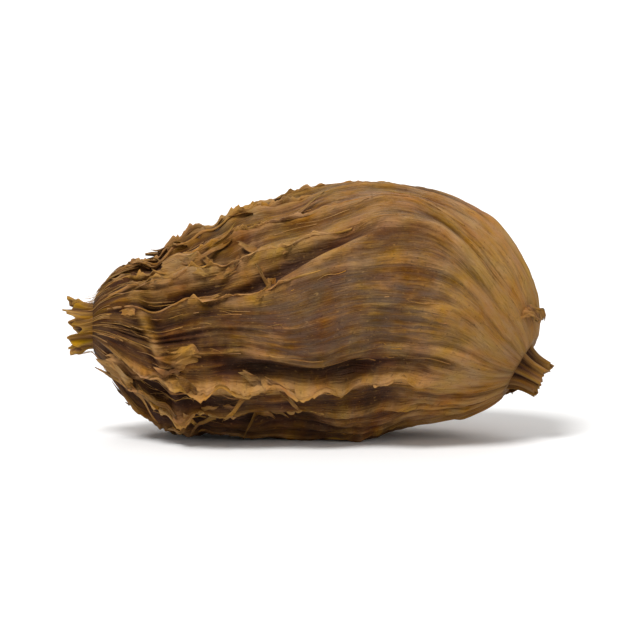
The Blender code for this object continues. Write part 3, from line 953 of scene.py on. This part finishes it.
class OBJECT_OT_pod_fibres(bpy.types.Operator):
    """Build the loose fibres that lie on the husk and stand off its torn ends"""

    bl_idname = "object.pod_fibres"
    bl_label = "Fibres"

    def execute(self, context):
        settings = context.scene.pod_torn
        place, size, start, twist, lifted, shade = (
            values[:, None, None] for values in scattered(settings.fibres, 6, 51)
        )
        index = np.arange(settings.fibres)[:, None, None]
        share = np.linspace(0, 1, 9)[None, :, None]
        p = section(4)
        root = 0.06 + 0.86 * place**1.8
        at_tip = root < 0.42
        length = (0.8 + 2.4 * size) * MM
        u = root - share * length / LENGTH
        angle = math.tau * start + 7 * DEG * (twist - 0.5) * share**2 + 0.5 * DEG * np.sin(7 * share + index)
        middle = np.round((angle - FIRST_RIB) / RIB_STEP)
        away = np.abs(angle - FIRST_RIB - middle * RIB_STEP) / RIB_STEP
        on_rib = rib_height(middle.astype(int) % RIBS, u) * (1 - ease(0.05, 0.30, away))
        lift = 0.02 * MM + np.where(at_tip, 0.45, 0.06) * MM * share**2.2 * lifted**2
        radius = settings.fibre_radius * (1 - 0.7 * share)
        points = husk_points(u, angle, on_rib + lift + radius * np.sin(p), radius * np.cos(p))
        tone = 0.50 + 0.35 * shade + 0 * share + 0 * p
        obj = skin_object("loose_fibres", points, grain_at(u, angle + 0 * p, 5.0 * index), tone)
        obj.data.materials.append(torn_material(context))
        return {"FINISHED"}


class OBJECT_OT_pod_studio(bpy.types.Operator):
    """Set up the pale floor, the soft lights and the camera"""

    bl_idname = "object.pod_studio"
    bl_label = "Studio"

    def execute(self, context):
        settings = context.scene.pod_studio
        self.floor(settings)
        middle = Vector(((CAD_LOW[0] + CAD_HIGH[0]) / 2, 0.0, (CAD_LOW[2] + CAD_HIGH[2]) / 2))
        self.lights()
        self.camera(context, settings, middle)
        context.scene.view_settings.view_transform = "Standard"
        return {"FINISHED"}

    def floor(self, settings):
        """A flat square floor with a plain matt finish."""
        far = FLOOR_REACH
        corners = [(-far, -far, 0), (far, -far, 0), (far, far, 0), (-far, far, 0)]
        mesh = bpy.data.meshes.new("floor")
        mesh.from_pydata(corners, [], [(0, 1, 2, 3)])
        material = bpy.data.materials.new("pale_floor")
        material.use_nodes = True
        shader = material.node_tree.nodes["Principled BSDF"]
        shader.inputs["Base Color"].default_value = (*settings.floor, 1.0)
        shader.inputs["Roughness"].default_value = 0.9
        mesh.materials.append(material)
        floor = bpy.data.objects.new("floor", mesh)
        bpy.context.scene.collection.objects.link(floor)

    def lights(self):
        """Three wide suns, a key from above at the upper left of the front and two weak ones from the right
        and the back, under an even sky. A sun lights the whole floor alike."""
        for name, towards, strength, spread_deg in SUNS:
            light = bpy.data.lights.new(name, "SUN")
            light.energy = strength
            light.angle = spread_deg * DEG
            obj = bpy.data.objects.new(name, light)
            obj.rotation_euler = (-Vector(towards)).to_track_quat("-Z", "Y").to_euler()
            bpy.context.scene.collection.objects.link(obj)
        world = bpy.data.worlds.new("even_sky")
        world.use_nodes = True
        background = world.node_tree.nodes["Background"]
        background.inputs["Color"].default_value = SKY_COLOUR
        background.inputs["Strength"].default_value = SKY_STRENGTH
        bpy.context.scene.world = world

    def camera(self, context, settings, middle):
        """A long lens at the photographed height, straight on to the pod's front."""
        camera = bpy.data.cameras.new("camera")
        camera.lens = settings.lens
        camera.clip_start = 0.01
        distance = settings.view_width * settings.lens / camera.sensor_width
        aim = Vector((0.0, -math.cos(settings.elevation), math.sin(settings.elevation)))
        obj = bpy.data.objects.new("camera", camera)
        obj.location = middle + aim * distance
        obj.rotation_euler = (-aim).to_track_quat("-Z", "Y").to_euler()
        context.scene.collection.objects.link(obj)
        context.scene.camera = obj


class VIEW3D_PT_pod(bpy.types.Panel):
    """Lists the pod's pieces and settings"""

    bl_idname = "VIEW3D_PT_pod"
    bl_label = "Dried Pod"
    bl_space_type = "VIEW_3D"
    bl_region_type = "UI"
    bl_category = "Pod"

    def draw(self, context):
        for operator in OPERATORS:
            self.layout.operator(operator.bl_idname)
        for name in SETTINGS:
            box = self.layout.box()
            group = getattr(context.scene, name)
            for prop in group.bl_rna.properties:
                if prop.identifier not in ("rna_type", "name"):
                    box.prop(group, prop.identifier)


OPERATORS = (
    OBJECT_OT_pod_husk,
    OBJECT_OT_pod_frills,
    OBJECT_OT_pod_strips,
    OBJECT_OT_pod_ends,
    OBJECT_OT_pod_fibres,
    OBJECT_OT_pod_studio,
)
SETTINGS = {
    "pod_husk": HuskSettings,
    "pod_torn": TornSettings,
    "pod_ends": EndSettings,
    "pod_studio": StudioSettings,
}


def register():
    """Add the settings, operators and panel to Blender."""
    for cls in (*SETTINGS.values(), *OPERATORS, VIEW3D_PT_pod):
        bpy.utils.register_class(cls)
    for name, cls in SETTINGS.items():
        setattr(bpy.types.Scene, name, PointerProperty(type=cls))


def unregister():
    """Take them out again, in the opposite order."""
    for name in SETTINGS:
        delattr(bpy.types.Scene, name)
    for cls in reversed((*SETTINGS.values(), *OPERATORS, VIEW3D_PT_pod)):
        bpy.utils.unregister_class(cls)


def main():
    """Build every piece and the stage."""
    register()
    bpy.ops.object.pod_husk()
    bpy.ops.object.pod_frills()
    bpy.ops.object.pod_strips()
    bpy.ops.object.pod_ends()
    bpy.ops.object.pod_fibres()
    bpy.ops.object.pod_studio()


if __name__ == "__main__":
    main()
